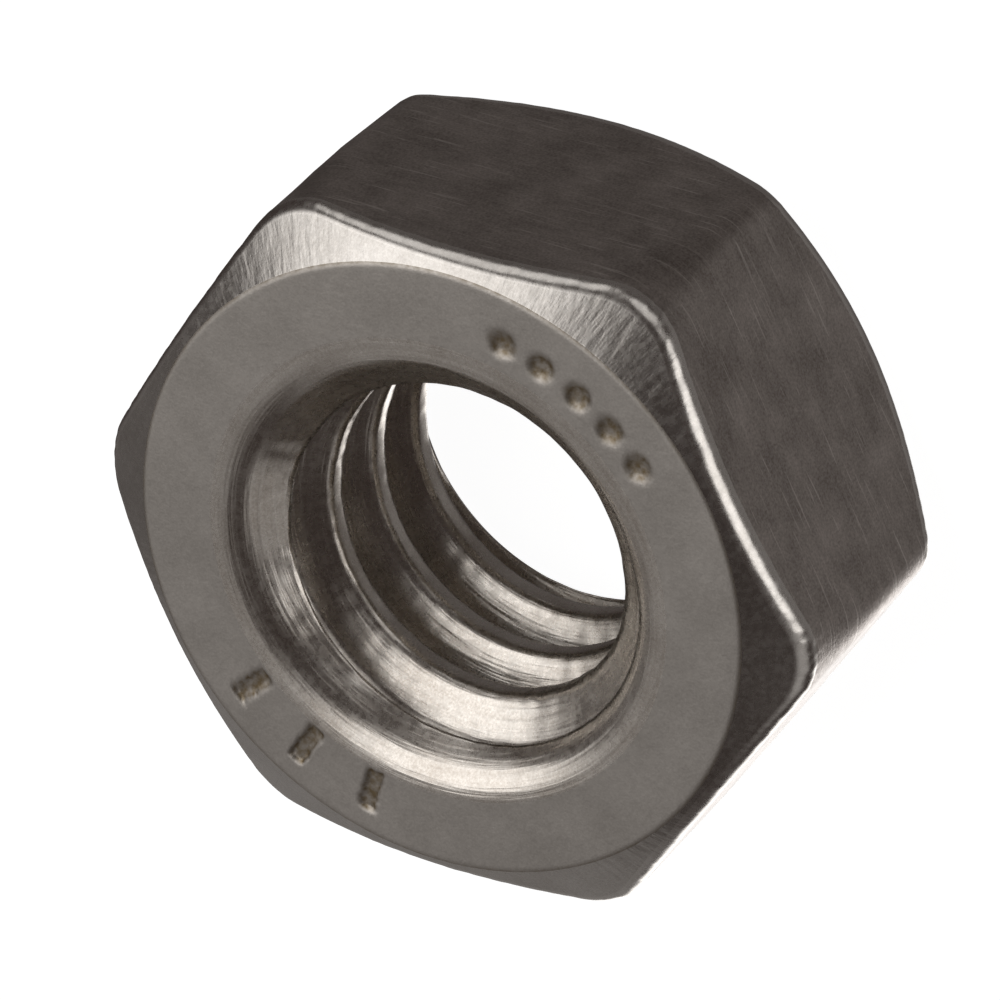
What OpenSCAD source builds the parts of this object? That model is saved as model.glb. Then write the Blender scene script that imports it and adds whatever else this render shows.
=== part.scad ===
// Hex nut, compact pattern, with a right-hand unified coarse thread.
// The origin is the centre of the lower bearing face. +Z runs along the thread axis, and
// +X through the corner over which the thread groove opens at the lower face.

/* [Body] */
// Width across the flats
across_flats = 10; // [9.6:0.1:14]
// Thickness, from face to face
thickness = 5.2; // [3.2:0.1:9]
// Diameter of the flat face inside the corner chamfer, on both faces
face_d = 9.43; // [8.6:0.01:9.5]
// Angle of the upper corner chamfer to the face, in degrees
chamfer_angle = 30; // [15:1:40]
// Angle of the lower corner chamfer to the face, in degrees
lower_chamfer_angle = 45; // [15:1:45]

/* [Thread] */
// Major diameter of the thread
thread_d = 6.35; // [5.9:0.05:6.4]
// Pitch of the thread
pitch = 1.27; // [1.15:0.01:1.3]
// Diameter of the hole before it is tapped
hole_d = 5; // [4.98:0.01:5.1]
// Diameter of the countersink where it meets each face
countersink_d = 6.7; // [6.5:0.1:7.5]
// Full angle of the countersink, in degrees
countersink_angle = 90; // [80:5:120]

/* [Marks] */
// Depth of the stamped marks in the upper face
mark_depth = 0.08; // [0.04:0.01:0.2]

/* [Hidden] */
$fn = 96;

// How far a cutter runs past the surface that it cuts
past = 0.5;
hole_r = hole_d / 2;
face_r = face_d / 2;
corner_r = across_flats / 2 / cos(30);
countersink_slope = tan(countersink_angle / 2);

// Thread form: 60 degree flanks, with a flat root an eighth of the pitch wide
root_r = thread_d / 2;
root_flat = pitch / 8;
flank_spread = 2 * tan(30);
// How far inside the wall of the hole the groove's cutter starts
groove_overlap = 0.15;
groove_r = hole_r - groove_overlap;
groove_w = root_flat + flank_spread * (root_r - groove_r);
steps_per_turn = 36;
turns = ceil(thickness / pitch) + 2;

// Where the marks lie on the face, the size of each, and the angle from one to the next
mark_r = (countersink_d + face_d) / 4;
bar_l = 0.7;
bar_w = 0.24;
bar_gap = 16.5;
bars_at = 180;
dot_r = 0.17;
dot_gap = 9;
dots_at = 0;

module blank() {
    cylinder(r = corner_r, h = thickness, $fn = 6);
}

// What lies outside the chamfer cone of a face, which is at z = 0 with the nut below it
module chamfer_cut(angle) {
    drop = (corner_r + past - face_r) * tan(angle);
    rotate_extrude()
        polygon([
            [face_r, 0],
            [corner_r + past, -drop],
            [corner_r + past, past],
            [face_r, past]
        ]);
}

module countersink_cut() {
    mouth_r = countersink_d / 2;
    rotate_extrude()
        polygon([
            [0, past],
            [mouth_r + past * countersink_slope, past],
            [hole_r, (hole_r - mouth_r) / countersink_slope],
            [0, (hole_r - mouth_r) / countersink_slope]
        ]);
}

// One section of the thread groove, at a number of steps along the helix
function groove_section(step) =
    let (
        a = 360 * step / steps_per_turn,
        z = pitch * (step / steps_per_turn - 1)
    )
    [
        for (corner = [
            [groove_r, -groove_w / 2],
            [root_r, -root_flat / 2],
            [root_r, root_flat / 2],
            [groove_r, groove_w / 2]
        ])
            [corner[0] * cos(a), corner[0] * sin(a), z + corner[1]]
    ];

// The groove of a right-hand thread: one long helix of the section above
module thread_groove() {
    last = turns * steps_per_turn;
    points = [for (step = [0:last]) each groove_section(step)];
    sides = [
        for (step = [0:last - 1], k = [0:3])
            let (
                a = 4 * step + k,
                b = 4 * step + (k + 1) % 4
            )
            each [[a, b, b + 4], [a, b + 4, a + 4]]
    ];
    ends = [[3, 2, 1, 0], [4 * last, 4 * last + 1, 4 * last + 2, 4 * last + 3]];
    polyhedron(points = points, faces = concat(sides, ends));
}

// Two groups of plain stamped marks: three bars, and a curved row of round dots
module marks() {
    for (k = [-1:1])
        rotate(bars_at + k * bar_gap)
            translate([mark_r, 0, 0])
                cube([bar_l, bar_w, 2 * mark_depth], center = true);
    dot_ball = (dot_r * dot_r + mark_depth * mark_depth) / (2 * mark_depth);
    for (k = [-2:2])
        rotate(dots_at + k * dot_gap)
            translate([mark_r, 0, dot_ball - mark_depth])
                sphere(r = dot_ball);
}

module hex_nut() {
    color("#8b8985")
        difference() {
            blank();
            translate([0, 0, thickness]) {
                chamfer_cut(chamfer_angle);
                countersink_cut();
                marks();
            }
            mirror([0, 0, 1]) {
                chamfer_cut(lower_chamfer_angle);
                countersink_cut();
            }
            translate([0, 0, -past])
                cylinder(r = hole_r, h = thickness + 2 * past);
            thread_groove();
        }
}

hex_nut();
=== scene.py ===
import math

import bmesh
import bpy
from mathutils import Matrix, Vector, noise


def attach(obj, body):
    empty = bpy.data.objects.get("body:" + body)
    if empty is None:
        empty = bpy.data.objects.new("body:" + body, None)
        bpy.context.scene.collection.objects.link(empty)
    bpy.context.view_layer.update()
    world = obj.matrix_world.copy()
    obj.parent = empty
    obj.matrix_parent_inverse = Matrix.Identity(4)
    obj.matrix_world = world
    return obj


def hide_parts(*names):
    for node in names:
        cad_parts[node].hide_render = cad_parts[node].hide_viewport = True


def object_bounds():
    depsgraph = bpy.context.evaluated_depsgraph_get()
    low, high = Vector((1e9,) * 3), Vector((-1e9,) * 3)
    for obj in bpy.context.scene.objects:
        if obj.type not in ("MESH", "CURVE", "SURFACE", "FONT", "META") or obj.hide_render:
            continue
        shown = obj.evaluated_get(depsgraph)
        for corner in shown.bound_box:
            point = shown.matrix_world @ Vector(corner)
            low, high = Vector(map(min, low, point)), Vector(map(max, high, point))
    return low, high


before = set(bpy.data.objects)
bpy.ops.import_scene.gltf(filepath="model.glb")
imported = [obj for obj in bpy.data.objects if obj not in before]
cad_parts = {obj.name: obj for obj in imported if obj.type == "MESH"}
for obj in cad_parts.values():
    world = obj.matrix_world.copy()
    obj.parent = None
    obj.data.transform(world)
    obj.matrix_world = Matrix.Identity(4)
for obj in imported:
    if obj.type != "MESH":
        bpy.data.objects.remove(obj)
cad_low, cad_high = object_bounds()


# ---- The camera ----
# A long lens above one corner of the nut, rolled over so that this corner points to the
# upper right. It is aimed at a point close to the thread axis, at half the nut's height.
mm = 0.001
aim = Vector((-0.347, 0.185, 2.6)) * mm
camera_azimuth, camera_elevation, camera_roll = (
    math.radians(a) for a in (-7.377, 50.222, -132.732)
)
camera_distance = 77.2 * mm
camera_data = bpy.data.cameras.new("camera")
camera_data.lens = 193.5
camera_data.sensor_width = 36
camera_data.clip_start = 5 * mm
camera = bpy.data.objects.new("camera", camera_data)
bpy.context.scene.collection.objects.link(camera)
back = Vector(
    (
        math.cos(camera_elevation) * math.cos(camera_azimuth),
        math.cos(camera_elevation) * math.sin(camera_azimuth),
        math.sin(camera_elevation),
    )
)
camera.matrix_world = (
    Matrix.Translation(aim + back * camera_distance)
    @ back.to_track_quat("Z", "Y").to_matrix().to_4x4()
    @ Matrix.Rotation(camera_roll, 4, "Z")
)
bpy.context.scene.camera = camera


# ---- The light ----
# A studio around the nut: dim warm walls, one large softbox high on one side, and smaller
# soft lamps round the horizon and below it. It is pale wherever the camera looks past the nut.
def add(tree, kind, sockets=None, **settings):
    """Adds one node. Each socket takes a value, or the output that feeds it."""
    node = tree.nodes.new("ShaderNode" + kind)
    for name, value in settings.items():
        setattr(node, name, value)
    for name, value in (sockets or {}).items():
        if isinstance(value, bpy.types.NodeSocket):
            tree.links.new(value, node.inputs[name])
        else:
            node.inputs[name].default_value = value
    return node


# Direction of the middle, half angle of the even part, half angle where it ends, strength
lights = [
    ((0.00, 0.55, 0.84), 17, 36, 1.65),
    ((0.70, -0.70, 0.12), 15, 24, 1.6),
    ((0.45, -0.55, -0.70), 15, 35, 0.08),
    ((0.97, 0.06, 0.24), 8, 22, 0.8),
    ((0.61, 0.79, 0.05), 15, 24, 0.9),
    ((-0.63, 0.08, 0.78), 15, 45, 0.215),
    ((-0.85, 0.50, 0.08), 10, 35, 0.08),
    ((-0.97, -0.22, -0.05), 15, 40, 0.2),
    ((-0.02, -0.97, 0.25), 10, 30, 0.35),
    ((-0.24, -0.58, -0.78), 8, 20, 0.3),
    ((-0.60, -0.36, -0.71), 15, 25, 1.9),
    ((0.30, 0.00, -0.95), 30, 70, 0.072),
]
lamp_colour = (1, 0.99, 0.98, 1)
wall_colour, wall_strength = (1, 0.80, 0.74, 1), 0.050
white = (1, 1, 1, 1)
world = bpy.data.worlds.new("studio")
bpy.context.scene.world = world
world.use_nodes = True
tree = world.node_tree
tree.nodes.clear()
around = add(tree, "TexCoord").outputs["Generated"]
total = None
for direction, inner, outer, strength in lights:
    facing = add(
        tree,
        "VectorMath",
        {0: around, 1: Vector(direction).normalized()},
        operation="DOT_PRODUCT",
    )
    glow = add(
        tree,
        "MapRange",
        {
            "Value": facing.outputs["Value"],
            "From Min": math.cos(math.radians(outer)),
            "From Max": math.cos(math.radians(inner)),
            "To Min": 0,
            "To Max": strength,
        },
        interpolation_type="SMOOTHERSTEP",
    )
    total = add(
        tree,
        "Math",
        {0: glow.outputs["Result"], 1: total.outputs[0] if total else 0},
        operation="ADD",
    )
lamps = add(tree, "Background", {"Color": lamp_colour, "Strength": total.outputs[0]})
walls = add(tree, "Background", {"Color": wall_colour, "Strength": wall_strength})
around_it = add(tree, "AddShader", {0: lamps.outputs[0], 1: walls.outputs[0]})
behind_it = add(tree, "Background", {"Color": white, "Strength": 1.0})
seen = add(tree, "LightPath")
mix = add(
    tree,
    "MixShader",
    {0: seen.outputs["Is Camera Ray"], 1: around_it.outputs[0], 2: behind_it.outputs[0]},
)
add(tree, "OutputWorld", {"Surface": mix.outputs[0]})
bpy.context.scene.view_settings.view_transform = "Standard"


# ---- The floor ----
# A wide sheet of matt white card, lit from below as well, so that the nut's shadow on it
# is faint. It doesn't show in the steel. It lies a hair below the nut, clear of its face.
floor_side = 2.0
floor_gap = 0.01 * mm
card_grey, card_glow = (0.25, 0.25, 0.25, 1), 0.96
floor_mesh = bpy.data.meshes.new("floor")
bm = bmesh.new()
bmesh.ops.create_grid(bm, x_segments=1, y_segments=1, size=floor_side / 2)
bmesh.ops.translate(bm, verts=bm.verts, vec=(0, 0, -floor_gap))
bm.to_mesh(floor_mesh)
bm.free()
floor = bpy.data.objects.new("floor", floor_mesh)
bpy.context.scene.collection.objects.link(floor)
floor.visible_glossy = False
card = bpy.data.materials.new("white_card")
card.use_nodes = True
tree = card.node_tree
tree.nodes.clear()
paper = add(tree, "BsdfDiffuse", {"Color": card_grey})
shine = add(tree, "Emission", {"Color": white, "Strength": card_glow})
both = add(tree, "AddShader", {0: paper.outputs[0], 1: shine.outputs[0]})
add(tree, "OutputMaterial", {"Surface": both.outputs[0]})
floor_mesh.materials.append(card)


# ---- The nut ----
# One solid piece of cold-drawn steel bar: cut off, chamfered and countersunk on both faces,
# and tapped with a right-hand thread. Sizes are in millimetres until the mesh is finished.
across_flats = (cad_high[1] - cad_low[1]) / mm
thickness = (cad_high[2] - cad_low[2]) / mm
face_r = 4.715
chamfer_angle = {1: math.radians(30), -1: math.radians(45)}
columns = 480
# From this radius outwards the columns are drawn together at the prism's corners
pull_from, column_pull = 3.6, 0.11

# The prism's corners are rounder at the upper face, and least so in one direction. The extra
# rounding fades out over a share of the height.
corner_round = 0.5
top_corner_round, corner_spared, least_worn = 1.3, 0.5, math.radians(-150)
corner_fade = 0.5
face_round = 0.16
edge_round, edge_wear, most_worn = 0.30, 0.06, math.radians(-75)
# Small knocks beside the edges: a share of the radius, and how far down the height they go
ragged_share, ragged_reach, ragged_per_mm = 0.002, 0.05, 7

# Rounding an edge of the thread also moves the surface beside it a little, and thread_back
# and mouth_back put that back.
thread_pitch = 1.27
thread_start = -0.1
crest_r = 2.5
root_r = 3.16
crest_half = thread_pitch / 8
flank_slope = 1 / math.tan(math.radians(30))
thread_soft, thread_back = 0.045, 0.005
# The tap tore the surface, except close to the faces
torn_depth, torn_r, torn_per_mm, torn_from = 0.012, 3, 4, 0.2

# Radius and slope of each countersink. The bore is joined to its lip at join_angle.
mouths = {1: (3.62, math.radians(49)), -1: (3.48, math.radians(50))}
mouth_soft, mouth_back = 0.03, 0.004
cone_margin = 0.03
lip_round = 0.75
join_angle = math.radians(30)
join_gap = 0.02
join_depth = lip_round * (1 - math.cos(join_angle))
cut_depth = join_depth + join_gap

# Three bars and five dots on the upper face, with worn edges
mark_depth = 0.05
mark_r = 4.03
bar_long, bar_wide, dot_r = 0.7, 0.24, 0.17
bar_slope, dot_slope = 0.07, 0.18
mark_ragged, mark_per_mm = 0.03, 8
bars_at, bar_step = 180.5, 16.5
dots_at, dot_step = -1, 9
bars = [math.radians(bars_at + k * bar_step) for k in (-1, 0, 1)]
dots = [math.radians(dots_at + k * dot_step) for k in (-2, -1, 0, 1, 2)]


def ease(x):
    """0 below 0, 1 above 1, and a smooth step between them."""
    x = min(1, max(0, x))
    return x * x * (3 - 2 * x)


def prism_radius(angle, rounding):
    """Distance from the axis to the hexagonal bar's surface, with its corners rounded."""
    off = (angle + math.pi / 6) % (math.pi / 3) - math.pi / 6
    middle = (across_flats / 2 - rounding) / math.cos(math.pi / 6)
    tangent = math.atan2(rounding / 2, middle + rounding * math.cos(math.pi / 6))
    if abs(off) < tangent:
        return middle * math.cos(off) + math.sqrt(rounding**2 - (middle * math.sin(off)) ** 2)
    return across_flats / 2 / math.cos(math.pi / 6 - abs(off))


def pressed(x, y):
    """Depth to which the stamped marks press the upper face down at a point."""
    deep = 0
    worn = mark_ragged * noise.noise(Vector((x, y, 0)) * mark_per_mm)
    for angle in bars:
        along = abs(x * math.cos(angle) + y * math.sin(angle) - mark_r)
        across = abs(y * math.cos(angle) - x * math.sin(angle))
        inside = min(bar_long / 2 - along, bar_wide / 2 - across) + worn
        if x * math.cos(angle) + y * math.sin(angle) > 0:
            deep = max(deep, ease(inside / bar_slope + 0.5))
    for angle in dots:
        away = math.hypot(x - mark_r * math.cos(angle), y - mark_r * math.sin(angle))
        deep = max(deep, ease((dot_r - away + worn) / dot_slope + 0.5))
    return mark_depth * deep


# Each row runs round the nut. "face" rows give the distance from the axis, "turn" rows the
# share of a rounded edge, and "side" rows the share of the height between the chamfers.
lip_steps, rim_steps, turn_steps = 5, 4, 8
marked_steps, plain_steps = 29, 3
lip_rows = [("lip", join_angle * (1 - k / lip_steps)) for k in range(lip_steps + 1)]
marked_face = [("face", k / marked_steps) for k in range(1, marked_steps + 1)]
plain_face = [("face", k / plain_steps) for k in range(1, plain_steps + 1)]
edge_rows = [("rim", k / rim_steps) for k in range(1, rim_steps + 1)]
edge_rows += [("chamfer", k) for k in (0.03, 0.35, 0.65, 0.97)]
edge_rows += [("turn", k / turn_steps) for k in range(turn_steps + 1)]
edge_rows += [("side", k) for k in (0.006, 0.02, 0.12, 0.3)]
rows = [(kind, at, 1) for kind, at in lip_rows + marked_face + edge_rows]
rows += [("side", 0.5, 1)]
rows += [(kind, at, -1) for kind, at in reversed(lip_rows + plain_face + edge_rows)]


def place(kind, at, angle, side):
    """Distance from the axis, and depth below the face, of one row at one angle."""
    lean = chamfer_angle[side]
    mouth_r = mouths[side][0]
    rim_back = face_round * math.tan(lean / 2)
    if kind == "lip":
        return mouth_r - lip_round * math.sin(at), lip_round * (1 - math.cos(at))
    if kind == "face":
        return mouth_r + (face_r - rim_back - mouth_r) * at, 0
    if kind == "rim":
        return (
            face_r - rim_back + face_round * math.sin(at * lean),
            face_round * (1 - math.cos(at * lean)),
        )
    rounding = corner_round
    if side == 1:
        lower = ease(at / corner_fade) if kind == "side" else 0
        spared = corner_spared * max(0, math.cos(angle - least_worn))
        worn_corner = top_corner_round - spared
        rounding += (worn_corner - corner_round) * (1 - lower)
    outer = prism_radius(angle, rounding)
    steep = math.pi / 2 - lean
    worn = edge_round + edge_wear * math.cos(angle - most_worn)
    edge_back = worn * math.tan(steep / 2)
    drop = (outer - face_r) * math.tan(lean)
    if kind == "chamfer":
        start = face_r + rim_back * math.cos(lean)
        r = start + (outer - edge_back * math.cos(lean) - start) * at
        return r, (r - face_r) * math.tan(lean)
    if kind == "turn":
        tilt = steep * (1 - at)
        return (
            outer - worn * (1 - math.cos(tilt)),
            drop + edge_back - worn * math.sin(tilt),
        )
    return outer, drop + edge_back


steel = bmesh.new()
line = [steel.verts.new((1, 0, index)) for index in range(len(rows))]
for one, two in zip(line, line[1:]):
    steel.edges.new((one, two))
bmesh.ops.spin(
    steel,
    geom=line + list(steel.edges),
    cent=(0, 0, 0),
    axis=(0, 0, 1),
    angle=2 * math.pi,
    steps=columns,
    use_merge=True,
)
row_kind = {}
for vert in steel.verts:
    kind, at, side = rows[round(vert.co.z)]
    angle = math.atan2(vert.co.y, vert.co.x)
    r, depth = place(kind, at, angle, side)
    pull = column_pull * ease((r - pull_from) / (face_r - pull_from))
    angle -= pull * math.sin(6 * angle)
    r, depth = place(kind, at, angle, side)
    if kind == "side":
        far = place(kind, at, angle, -side)[1]
        depth += (thickness - depth - far) * at
    x, y = r * math.cos(angle), r * math.sin(angle)
    if side == 1 and kind in ("face", "rim"):
        depth += pressed(x, y)
    if kind in ("turn", "side"):
        ragged = noise.noise(
            Vector((x * ragged_per_mm, y * ragged_per_mm, side * ragged_per_mm + at / 2))
        )
        near_edge = ease(at * 2) if kind == "turn" else ease(1 - at / ragged_reach)
        x, y = (v * (1 + ragged_share * near_edge * (ragged - 0.5)) for v in (x, y))
    vert.co = (x, y, thickness - depth if side == 1 else depth)
    row_kind[vert] = kind

# The bore: one pitch of the thread's section, wound up past both faces
pitch_rows, row_packing = 24, 0.045
turns, turns_below = 6, 1.5
merge_distance, cut_tolerance = 0.004, 0.0001
bore = bmesh.new()


def pitch_share(k):
    """Packs the rows of one pitch at the edges of the crest."""
    u = k / pitch_rows
    return u + row_packing * math.sin(4 * math.pi * u)


line = [
    bore.verts.new((1, 0, (pitch_share(k) - turns_below) * thread_pitch + thread_start))
    for k in range(pitch_rows + 1)
]
for one, two in zip(line, line[1:]):
    bore.edges.new((one, two))
bmesh.ops.spin(
    bore,
    geom=line + list(bore.edges),
    cent=(0, 0, 0),
    axis=(0, 0, 1),
    dvec=(0, 0, thread_pitch / columns),
    angle=2 * math.pi,
    steps=columns,
    use_merge=False,
)
first_turn = list(bore.verts) + list(bore.edges) + list(bore.faces)
for turn in range(1, turns):
    copied = bmesh.ops.duplicate(bore, geom=first_turn)["geom"]
    moved = [part for part in copied if isinstance(part, bmesh.types.BMVert)]
    bmesh.ops.translate(bore, verts=moved, vec=(0, 0, turn * thread_pitch))
bmesh.ops.remove_doubles(bore, verts=bore.verts, dist=merge_distance)
for height, way in ((cut_depth, -1), (thickness - cut_depth, 1)):
    bmesh.ops.bisect_plane(
        bore,
        geom=list(bore.verts) + list(bore.edges) + list(bore.faces),
        dist=cut_tolerance,
        plane_co=(0, 0, height),
        plane_no=(0, 0, way),
        clear_outer=True,
    )


def thread_radius(z, angle):
    """Radius of the thread's own surface: crest, 60 degree flanks, and root."""
    share = ((z - thread_start) / thread_pitch - angle / (2 * math.pi) - 0.5) % 1
    off = abs((share + 0.5) % 1 - 0.5) * thread_pitch
    flank = crest_r + (off - crest_half) * flank_slope
    low = math.sqrt((flank - crest_r) ** 2 + thread_soft**2)
    r = (flank + crest_r + low) / 2
    return (r + root_r - math.sqrt((root_r - r) ** 2 + thread_soft**2)) / 2 + thread_back


def mouth_radius(z):
    """Radius of the nearer countersink at one height: a rounded lip, then a cone."""
    side, depth = (1, thickness - z) if z > thickness / 2 else (-1, z)
    mouth_r, cone_angle = mouths[side]
    lip_end_depth = lip_round * (1 - math.cos(cone_angle))
    if depth < lip_end_depth:
        return mouth_r - lip_round * math.sin(math.acos(1 - max(0, depth) / lip_round))
    cone_start = mouth_r - lip_round * math.sin(cone_angle)
    return cone_start - (depth - lip_end_depth) / math.tan(cone_angle)


for vert in bore.verts:
    z = vert.co.z
    angle = math.atan2(vert.co.y, vert.co.x)
    r = thread_radius(z, angle)
    cone = mouth_radius(z)
    torn = noise.noise(
        Vector((torn_r * math.cos(angle), torn_r * math.sin(angle), z)) * torn_per_mm
    )
    r = (r + cone + math.sqrt((r - cone) ** 2 + mouth_soft**2)) / 2 - mouth_back
    r += torn_depth * torn * ease((min(z, thickness - z) - torn_from) / torn_from)
    vert.co = (r * math.cos(angle), r * math.sin(angle), z)

# The bore is joined to the outside along both lips
spare = bpy.data.meshes.new("spare")
bore.to_mesh(spare)
bore.free()
steel.from_mesh(spare)
bpy.data.meshes.remove(spare)
open_edges = [edge for edge in steel.edges if edge.is_boundary]
for upper in (True, False):
    loops = [e for e in open_edges if (e.verts[0].co.z > thickness / 2) == upper]
    bmesh.ops.bridge_loops(steel, edges=loops)
bmesh.ops.recalc_face_normals(steel, faces=steel.faces)

FACE, FLAT, CHAMFER, EDGE, CONE, THREAD = range(6)
for face in steel.faces:
    face.smooth = True
    kinds = {row_kind.get(vert) for vert in face.verts}
    centre = face.calc_center_median()
    if "turn" in kinds:
        face.material_index = EDGE
    elif "side" in kinds:
        face.material_index = FLAT
    elif "chamfer" in kinds:
        face.material_index = CHAMFER
    elif "face" in kinds or "rim" in kinds:
        face.material_index = FACE
    elif math.hypot(centre.x, centre.y) > mouth_radius(centre.z) - cone_margin:
        face.material_index = CONE
    else:
        face.material_index = THREAD
bmesh.ops.scale(steel, vec=(mm, mm, mm), verts=steel.verts)
nut_mesh = bpy.data.meshes.new("nut_body")
steel.to_mesh(nut_mesh)
steel.free()
nut = bpy.data.objects.new("nut_body", nut_mesh)
bpy.context.scene.collection.objects.link(nut)


def linear(hex_colour):
    """An sRGB hex colour as the linear colour that a node takes."""
    parts = [int(hex_colour[k : k + 2], 16) / 255 for k in (1, 3, 5)]
    return [((c + 0.055) / 1.055) ** 2.4 if c > 0.04045 else c / 12.92 for c in parts] + [1]


# All of it is one stainless steel, so the finishes differ only in what last touched them.
# Each pattern is given by the size of its marks in millimetres: round the axis, out from it
# and along it. The tumbling drum's pits are about 0.01 across. That is too fine to show, so
# they are drawn three to ten times as coarse.
patch_size = (0.77, 0.77, 0.77)
dent_size = (0.11, 0.11, 0.11)
pit_size = (0.036, 0.036, 0.036)
scratch_size = (0.9, 1.0, 0.05)
# What each noise does: the spread between the two tones, where a streak becomes a scratch
# and how light it is, how deep the grime begins and where it is thin, and how the rubbed
# patches change the roughness.
tone_spread = 0.35
scratch_from, scratch_to, scratch_light = 0.63, 0.71, 0.5
grime_depth, grime_least, grime_from, grime_to = 0.03, 0.35, 0.35, 0.65
rubbed_from, rubbed_to, rubbed_less, rubbed_more = 0.3, 0.7, 0.04, 0.05


def steel_finish(
    name, bright, dull, roughness, lay_size, lay_depth, lay_tone, pit_depth, scratch, grime
):
    """Steel between two tones. The depths are in millimetres, lay_tone is how strongly the
    tool's lines also show as tone, scratch is the depth of the scratches, and grime is the
    colour of what lies in the stamped marks."""
    made = bpy.data.materials.new(name)
    made.use_nodes = True
    tree = made.node_tree
    tree.nodes.clear()
    metres = add(tree, "TexCoord").outputs["Object"]
    spot = add(tree, "VectorMath", {0: metres, 3: 1 / mm}, operation="SCALE").outputs[0]
    level = add(tree, "VectorMath", {0: spot, 1: (1, 1, 0)}, operation="MULTIPLY").outputs[0]
    radius = add(tree, "VectorMath", {0: level}, operation="LENGTH").outputs["Value"]
    split = add(tree, "SeparateXYZ", {0: spot})
    angle = add(tree, "Math", {0: split.outputs["Y"], 1: split.outputs["X"]}, operation="ARCTAN2")
    round_way = add(tree, "Math", {0: angle.outputs[0], 1: face_r}, operation="MULTIPLY")
    unrolled = add(
        tree, "CombineXYZ", {0: round_way.outputs[0], 1: radius, 2: split.outputs["Z"]}
    ).outputs[0]

    noises = []
    for source, size, detail in (
        (spot, patch_size, 5),
        (spot, dent_size, 3),
        (spot, pit_size, 2),
        (unrolled, lay_size, 3),
        (unrolled, scratch_size, 2),
    ):
        cell = add(tree, "VectorMath", {0: source, 1: size}, operation="DIVIDE").outputs[0]
        noises.append(
            add(tree, "TexNoise", {"Vector": cell, "Scale": 1, "Detail": detail}).outputs[0]
        )
    patches, dents, pits, lay, streaks = noises

    # The tone follows the worn patches and the pits, and is lighter along a scratch
    mottled = add(tree, "Math", {0: patches, 1: pits}, operation="ADD").outputs[0]
    lined = add(
        tree, "Math", {0: lay, 1: lay_tone, 2: mottled}, operation="MULTIPLY_ADD"
    ).outputs[0]
    middle_tone = 1 + lay_tone / 2
    tone = add(
        tree,
        "MapRange",
        {
            "Value": lined,
            "From Min": middle_tone - tone_spread,
            "From Max": middle_tone + tone_spread,
        },
    ).outputs[0]
    colour = add(
        tree, "Mix", {"Factor": tone, 6: linear(dull), 7: linear(bright)}, data_type="RGBA"
    ).outputs[2]
    cut = add(
        tree, "MapRange", {"Value": streaks, "From Min": scratch_from, "From Max": scratch_to}
    ).outputs[0]
    if scratch:
        cut_tone = add(
            tree, "Math", {0: cut, 1: scratch_light}, operation="MULTIPLY"
        ).outputs[0]
        colour = add(
            tree, "Mix", {"Factor": cut_tone, 6: colour, 7: linear("#eae4de")}, data_type="RGBA"
        ).outputs[2]
    if grime:
        sunk = add(
            tree,
            "MapRange",
            {
                "Value": split.outputs["Z"],
                "From Min": thickness,
                "From Max": thickness - grime_depth,
            },
        ).outputs[0]
        thin = add(
            tree,
            "MapRange",
            {
                "Value": dents,
                "From Min": grime_from,
                "From Max": grime_to,
                "To Min": grime_least,
                "To Max": 1,
            },
        ).outputs[0]
        upper = add(
            tree, "Math", {0: split.outputs["Z"], 1: thickness / 2}, operation="GREATER_THAN"
        ).outputs[0]
        marked = add(tree, "Math", {0: sunk, 1: upper}, operation="MULTIPLY").outputs[0]
        held = add(tree, "Math", {0: marked, 1: thin}, operation="MULTIPLY").outputs[0]
        colour = add(
            tree, "Mix", {"Factor": held, 6: colour, 7: linear(grime)}, data_type="RGBA"
        ).outputs[2]

    rubbed = add(
        tree,
        "MapRange",
        {
            "Value": dents,
            "From Min": rubbed_from,
            "From Max": rubbed_to,
            "To Min": roughness - rubbed_less,
            "To Max": roughness + rubbed_more,
        },
    ).outputs[0]
    height = 0
    for share, depth in ((lay, lay_depth), (dents, pit_depth), (pits, pit_depth), (cut, -scratch)):
        height = add(
            tree, "Math", {0: share, 1: depth * mm, 2: height}, operation="MULTIPLY_ADD"
        ).outputs[0]
    bump = add(tree, "Bump", {"Height": height, "Distance": 1.0, "Strength": 1.0}).outputs[0]
    shader = add(
        tree,
        "BsdfPrincipled",
        {"Base Color": colour, "Metallic": 1.0, "Roughness": rubbed, "Normal": bump},
    )
    add(tree, "OutputMaterial", {"Surface": shader.outputs[0]})
    nut_mesh.materials.append(made)


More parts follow.
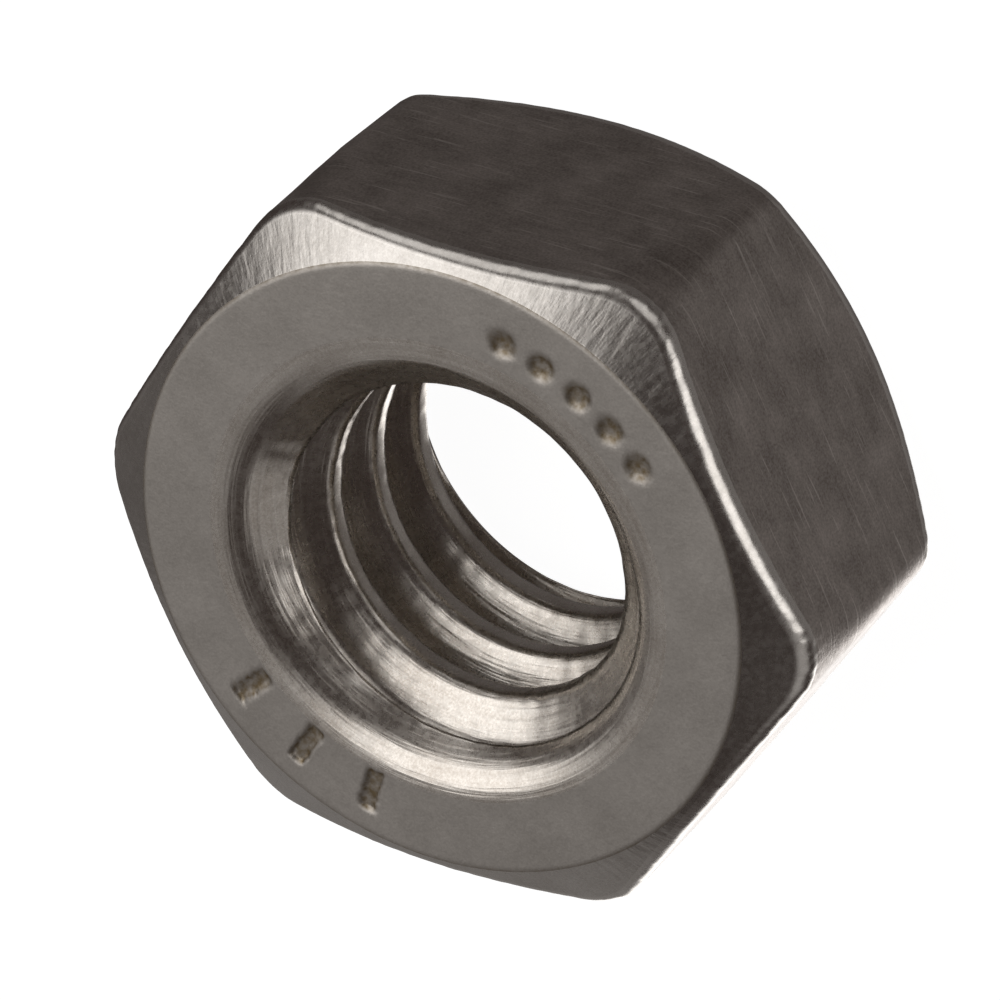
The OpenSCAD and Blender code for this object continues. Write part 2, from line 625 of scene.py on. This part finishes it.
# Stainless steel faced off and then tumbled: an even, matt grey with no lines in it, and a
# little brown grime held in the stamped marks.
steel_finish(
    name="tumbled_stainless_face",
    bright="#bdb8b2",
    dull="#a8a39d",
    roughness=0.44,
    lay_size=(0.33, 0.33, 0.33),
    lay_depth=0.001,
    lay_tone=0,
    pit_depth=0.002,
    scratch=0,
    grime="#7d6f58",
)
# Stainless bar as it was drawn: a darker satin with fine lines along the bar's sides, rubbed
# and scratched since by the other nuts in the drum.
steel_finish(
    name="drawn_stainless_flat",
    bright="#c6beb8",
    dull="#8b837d",
    roughness=0.34,
    lay_size=(0.5, 1, 0.083),
    lay_depth=0.002,
    lay_tone=0.4,
    pit_depth=0.004,
    scratch=0.0015,
    grime=None,
)
# Stainless steel turned with a form tool: brighter, with chatter lines that run outwards.
steel_finish(
    name="turned_stainless_chamfer",
    bright="#cdc9c4",
    dull="#b5b0aa",
    roughness=0.26,
    lay_size=(0.14, 0.67, 0.67),
    lay_depth=0.009,
    lay_tone=0,
    pit_depth=0.001,
    scratch=0,
    grime=None,
)
# Stainless edges that have knocked against others in the drum: the smoothest metal on the
# nut, so each one shows as a bright line.
steel_finish(
    name="burnished_stainless_edge",
    bright="#d8d4cf",
    dull="#c4bfb9",
    roughness=0.27,
    lay_size=(0.14, 0.67, 0.67),
    lay_depth=0.005,
    lay_tone=0,
    pit_depth=0.001,
    scratch=0,
    grime=None,
)
# Stainless steel cut with a countersink: fine rings round the hole, with soft highlights that
# the rings draw out sideways.
steel_finish(
    name="countersunk_stainless_cone",
    bright="#dbd6cf",
    dull="#b6aea5",
    roughness=0.27,
    lay_size=(2.5, 0.07, 1),
    lay_depth=0.010,
    lay_tone=0.6,
    pit_depth=0.0005,
    scratch=0,
    grime=None,
)
# Stainless steel torn and burnished by a tap: rings along the thread, whose tone varies at
# random between a light grey and a dark brown.
steel_finish(
    name="tapped_stainless_thread",
    bright="#d8d0c6",
    dull="#786c5e",
    roughness=0.29,
    lay_size=(2.5, 0.12, 1),
    lay_depth=0.050,
    lay_tone=1.8,
    pit_depth=0.0005,
    scratch=0,
    grime=None,
)

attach(nut, "root")
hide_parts("hex_nut")
